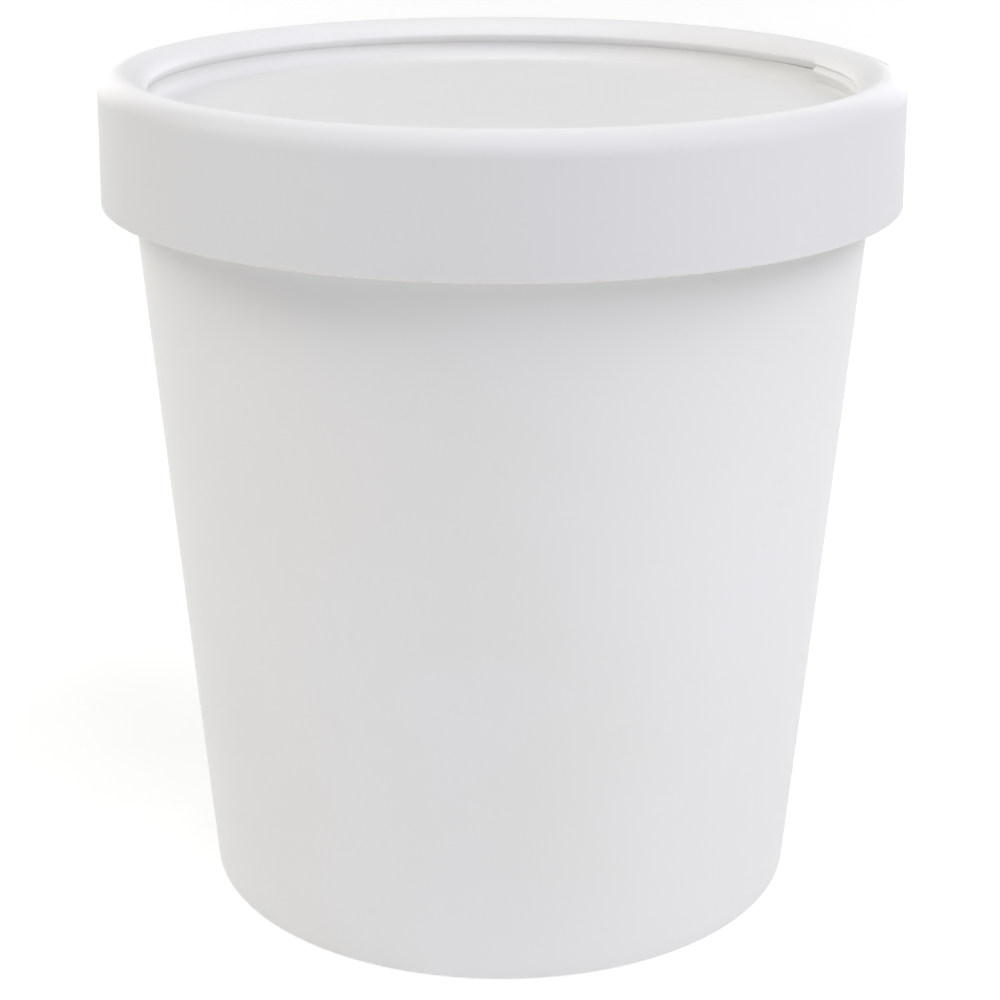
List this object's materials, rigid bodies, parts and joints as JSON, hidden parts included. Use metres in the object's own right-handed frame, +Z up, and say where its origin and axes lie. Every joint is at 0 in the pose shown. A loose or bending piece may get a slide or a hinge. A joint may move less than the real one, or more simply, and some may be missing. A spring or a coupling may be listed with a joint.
{
  "type": "freezer container",
  "caption": "Shut round paperboard freezer tub, tapered to its foot, with a deep-skirted press-on lid whose flat top is sunk inside a rolled rim.",
  "frame": {"origin": "centre of the foot, on the surface that the tub stands on", "axes": "+Z up along the tub's axis, towards the lid; the picture's view is from -Y, with +X to its right"},
  "size_m": [0.0938, 0.0938, 0.1],
  "materials": {
    "tub_board": "white coated paperboard, satin",
    "base_board": "white paperboard, matt",
    "lid_board": "white coated paperboard, satin",
    "panel_board": "white coated paperboard, satin"
  },
  "bodies": {
    "root": {"tub_body": "tub_board", "tub_base": "base_board", "lid_ring": "lid_board", "lid_panel": "panel_board"}
  },
  "joints": []
}
